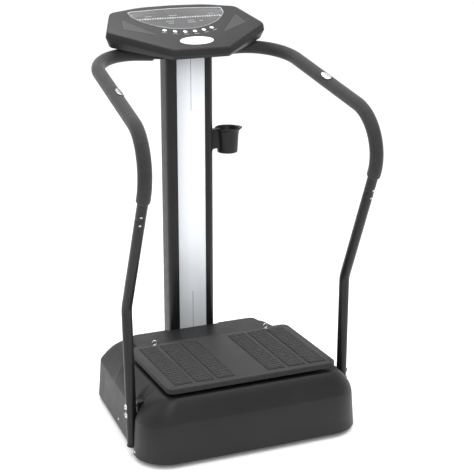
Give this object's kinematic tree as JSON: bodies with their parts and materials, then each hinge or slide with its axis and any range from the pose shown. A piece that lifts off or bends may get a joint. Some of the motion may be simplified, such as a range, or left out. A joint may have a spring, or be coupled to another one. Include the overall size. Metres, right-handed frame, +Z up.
{
  "type": "vibration plate",
  "caption": "Standing vibration plate: rocking foot platform on a floor base, centre column with a sloping console, cup holder and two foam-gripped handlebars.",
  "frame": {"origin": "on the floor, below the middle of the whole object's box", "axes": "+Z up, +Y away from the user, who stands on the plate facing the console, +X to the user's right"},
  "size_m": [0.738, 0.7391, 1.2304],
  "materials": {
    "cover_plastic": "satin, fine-grained black moulding",
    "plate_plastic": "matte, fine-grained dark grey moulding",
    "grip_rubber": "ribbed matte black rubber",
    "foot_rubber": "matte black rubber",
    "black_paint": "satin black powder coat",
    "grip_foam": "closed-cell foam, soft matte",
    "silver_panel": "fine vertical brushed anodised sheet",
    "chrome": "bright plated",
    "button_silver": "silver-plated plastic",
    "display_glass": "smoked glossy window",
    "badge_white": "glossy white, blank",
    "machine_steel": "turned or stamped steel",
    "rotor_steel": "laminated rotor",
    "circuit_board": "green solder mask",
    "fitting_plastic": "moulded black plastic",
    "switch_red": "glossy red rocker"
  },
  "bodies": {
    "base": {"base_cover": "cover_plastic", "console_upper_shell": "cover_plastic", "console_lower_shell": "cover_plastic", "left_sensor_housing": "cover_plastic", "right_sensor_housing": "cover_plastic", "front_left_foot": "foot_rubber", "front_right_foot": "foot_rubber", "rear_left_foot": "foot_rubber", "rear_right_foot": "foot_rubber", "drive_belt": "foot_rubber", "base_frame": "black_paint", "column": "black_paint", "left_upper_tube": "black_paint", "right_upper_tube": "black_paint", "left_lower_tube": "black_paint", "right_lower_tube": "black_paint", "motor_housing": "black_paint", "bottom_pan": "black_paint", "left_foam_grip": "grip_foam", "right_foam_grip": "grip_foam", "column_panel": "silver_panel", "left_bar_bolts": "chrome", "right_bar_bolts": "chrome", "left_front_sensor_plate": "chrome", "left_rear_sensor_plate": "chrome", "right_front_sensor_plate": "chrome", "right_rear_sensor_plate": "chrome", "display_bezel": "chrome", "display_lens": "display_glass", "badge": "badge_white", "motor_bracket": "machine_steel", "front_pivot_bearing": "machine_steel", "rear_pivot_bearing": "machine_steel", "front_crank_bearing": "machine_steel", "rear_crank_bearing": "machine_steel", "control_board": "circuit_board", "display_board": "circuit_board", "power_inlet": "fitting_plastic", "cup_holder": "fitting_plastic"},
    "platform": {"vibration_plate": "plate_plastic", "platform_frame": "black_paint", "pivot_shaft": "machine_steel", "left_grip_mat": "grip_rubber", "right_grip_mat": "grip_rubber", "left_strap_ring": "chrome", "right_strap_ring": "chrome", "rod_pin": "machine_steel"},
    "rod": {"connecting_rod": "machine_steel"},
    "crank": {"crank_shaft": "machine_steel", "driven_pulley": "machine_steel"},
    "motor": {"motor_rotor": "rotor_steel", "motor_pulley": "machine_steel"},
    "switch": {"power_switch": "switch_red"},
    "button_1": {"button_1": "button_silver"},
    "button_2": {"button_2": "button_silver"},
    "button_3": {"button_3": "button_silver"},
    "button_4": {"button_4": "button_silver"},
    "button_5": {"button_5": "button_silver"},
    "button_6": {"button_6": "button_silver"}
  },
  "joints": [
    {"name": "platform_rock", "type": "hinge", "parent": "base", "child": "platform", "pos_m": [0, -0.1155, 0.165], "axis": [0, 1, 0], "range_deg": [-1.15, 1.15]},
    {"name": "rod_swing", "type": "hinge", "parent": "platform", "child": "rod", "pos_m": [0.13, -0.1155, 0.18], "axis": [0, 1, 0], "range_deg": [-1.5, 1.5]},
    {"name": "motor_spin", "type": "hinge", "parent": "base", "child": "motor", "pos_m": [-0.13, -0.1155, 0.105], "axis": [0, 1, 0], "continuous": true},
    {"name": "crank_spin", "type": "hinge", "parent": "base", "child": "crank", "pos_m": [0.13, -0.1155, 0.105], "axis": [0, 1, 0], "continuous": true},
    {"name": "switch_rock", "type": "hinge", "parent": "base", "child": "switch", "pos_m": [-0.15, 0.2869, 0.072], "axis": [1, 0, 0], "range_deg": [-7, 7]},
    {"name": "button_1_press", "type": "slide", "parent": "base", "child": "button_1", "axis": [0, 0.3502, -0.9367], "range_m": [0, 0.001], "stiffness_N_per_m": 300},
    {"name": "button_2_press", "type": "slide", "parent": "base", "child": "button_2", "axis": [0, 0.3502, -0.9367], "range_m": [0, 0.001], "stiffness_N_per_m": 300},
    {"name": "button_3_press", "type": "slide", "parent": "base", "child": "button_3", "axis": [0, 0.3502, -0.9367], "range_m": [0, 0.001], "stiffness_N_per_m": 300},
    {"name": "button_4_press", "type": "slide", "parent": "base", "child": "button_4", "axis": [0, 0.3502, -0.9367], "range_m": [0, 0.001], "stiffness_N_per_m": 300},
    {"name": "button_5_press", "type": "slide", "parent": "base", "child": "button_5", "axis": [0, 0.3502, -0.9367], "range_m": [0, 0.001], "stiffness_N_per_m": 300},
    {"name": "button_6_press", "type": "slide", "parent": "base", "child": "button_6", "axis": [0, 0.3502, -0.9367], "range_m": [0, 0.001], "stiffness_N_per_m": 300}
  ],
  "couplings": [
    {"joint": "crank_spin", "follows": "motor_spin", "ratio": 0.423}
  ]
}
